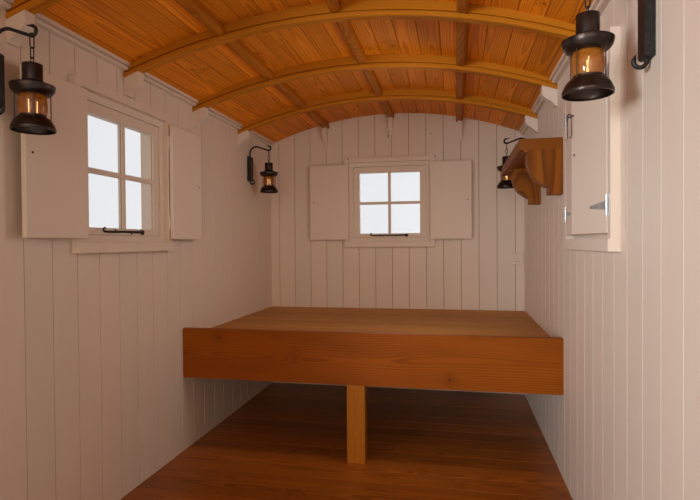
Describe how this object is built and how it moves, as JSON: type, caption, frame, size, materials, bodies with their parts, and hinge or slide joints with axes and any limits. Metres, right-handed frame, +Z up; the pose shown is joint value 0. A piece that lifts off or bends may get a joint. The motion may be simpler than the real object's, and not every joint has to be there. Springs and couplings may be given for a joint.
{
  "type": "shepherds hut sleeping end",
  "caption": "Closed end of a shepherds hut with an arched timber roof on bows, shuttered windows, a built-in bed base, a shelf and wall lanterns; open where the next bays join.",
  "frame": {"origin": "Middle of the footprint, on the underside of the floor joists", "axes": "+Z up, +Y along the hut towards the closed end wall, +X to the right as seen from the open end"},
  "size_m": [2.216, 3.217, 2.2501],
  "materials": {
    "sawn_timber": "sawn",
    "floor_timber": "varnished",
    "ceiling_timber": "satin varnish",
    "pine": "satin varnish",
    "bed_timber": "satin varnish",
    "roof_steel": "matt",
    "window_glass": "clear",
    "lantern_glass": "clear amber",
    "galvanised_steel": "galvanised",
    "black_iron": "satin",
    "bronzed_metal": "satin",
    "outside_paint": "matt paint",
    "inside_paint": "eggshell paint"
  },
  "bodies": {
    "hut": {"floor_frame": "sawn_timber", "floor_boards": "floor_timber", "left_lining": "inside_paint", "right_lining": "inside_paint", "end_lining": "inside_paint", "wall_studs": "sawn_timber", "wall_end_posts": "sawn_timber", "left_cladding": "outside_paint", "right_cladding": "outside_paint", "end_cladding": "outside_paint", "ceiling_boards": "ceiling_timber", "roof_battens": "sawn_timber", "roof_sheet": "roof_steel", "verge_board": "outside_paint", "bow_1": "pine", "bow_2": "pine", "bow_3": "pine", "bow_4": "pine", "bow_5": "pine", "purlins": "pine", "left_cornice": "inside_paint", "right_cornice": "inside_paint", "bow_knees": "inside_paint", "purlin_knees": "inside_paint", "left_window_frame": "inside_paint", "right_window_frame": "inside_paint", "end_window_frame": "inside_paint", "left_casement": "inside_paint", "right_casement": "inside_paint", "end_casement": "inside_paint", "window_glass": "window_glass", "window_stays": "black_iron", "shutter_hinges": "galvanised_steel", "bed_rail": "bed_timber", "bed_post": "bed_timber", "bed_joists": "pine", "bed_platform": "pine", "shelf": "pine", "shelf_corbels": "pine", "lantern_brackets": "black_iron", "lantern_chains": "black_iron", "lanterns": "bronzed_metal", "lantern_glasses": "lantern_glass"},
    "left_shutter_near": {"left_shutter_near": "inside_paint"},
    "left_shutter_far": {"left_shutter_far": "inside_paint"},
    "right_shutter_near": {"right_shutter_near": "inside_paint"},
    "right_shutter_far": {"right_shutter_far": "inside_paint"},
    "end_shutter_left": {"end_shutter_left": "inside_paint"},
    "end_shutter_right": {"end_shutter_right": "inside_paint"}
  },
  "joints": [
    {"name": "left_shutter_near_hinge", "type": "hinge", "parent": "hut", "child": "left_shutter_near", "pos_m": [-0.9195, -0.682, 1.515], "axis": [0, 0, 1], "range_deg": [0, 180]},
    {"name": "left_shutter_far_hinge", "type": "hinge", "parent": "hut", "child": "left_shutter_far", "pos_m": [-0.9195, -0.077, 1.515], "axis": [0, 0, 1], "range_deg": [-180, 0]},
    {"name": "right_shutter_near_hinge", "type": "hinge", "parent": "hut", "child": "right_shutter_near", "pos_m": [0.9195, -0.717, 1.515], "axis": [0, 0, 1], "range_deg": [-8, 127]},
    {"name": "right_shutter_far_hinge", "type": "hinge", "parent": "hut", "child": "right_shutter_far", "pos_m": [0.9195, -0.112, 1.515], "axis": [0, 0, 1], "range_deg": [-131, 4]},
    {"name": "end_shutter_left_hinge", "type": "hinge", "parent": "hut", "child": "end_shutter_left", "pos_m": [-0.3195, 1.435, 1.515], "axis": [0, 0, 1], "range_deg": [0, 180]},
    {"name": "end_shutter_right_hinge", "type": "hinge", "parent": "hut", "child": "end_shutter_right", "pos_m": [0.2855, 1.435, 1.515], "axis": [0, 0, 1], "range_deg": [-180, 0]}
  ]
}
